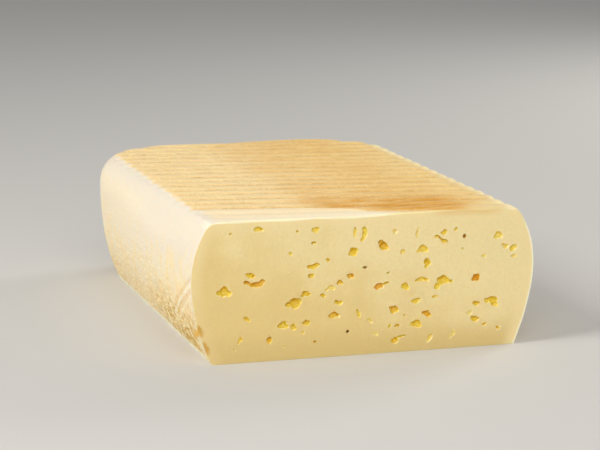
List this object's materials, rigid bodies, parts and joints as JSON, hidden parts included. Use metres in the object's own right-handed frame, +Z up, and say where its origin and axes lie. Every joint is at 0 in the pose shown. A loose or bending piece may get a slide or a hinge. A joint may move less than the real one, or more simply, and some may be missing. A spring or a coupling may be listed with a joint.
{
  "type": "cut block of esrom cheese",
  "caption": "Cut block of esrom, a flat semi-soft loaf cheese, with a ribbed top, swollen cream rind sides, a rounded natural end and a flat cut face pitted with small eyes.",
  "frame": {"origin": "middle of the bounding box in plan, on the flat base", "axes": "+Z up, out of the ribbed top; -Y out of the cut face and +Y towards the rounded natural end; +X to the right as seen from the cut"},
  "size_m": [0.132, 0.1956, 0.052],
  "materials": {
    "cheese": "satin"
  },
  "bodies": {
    "root": {"cheese": "cheese"}
  },
  "joints": []
}
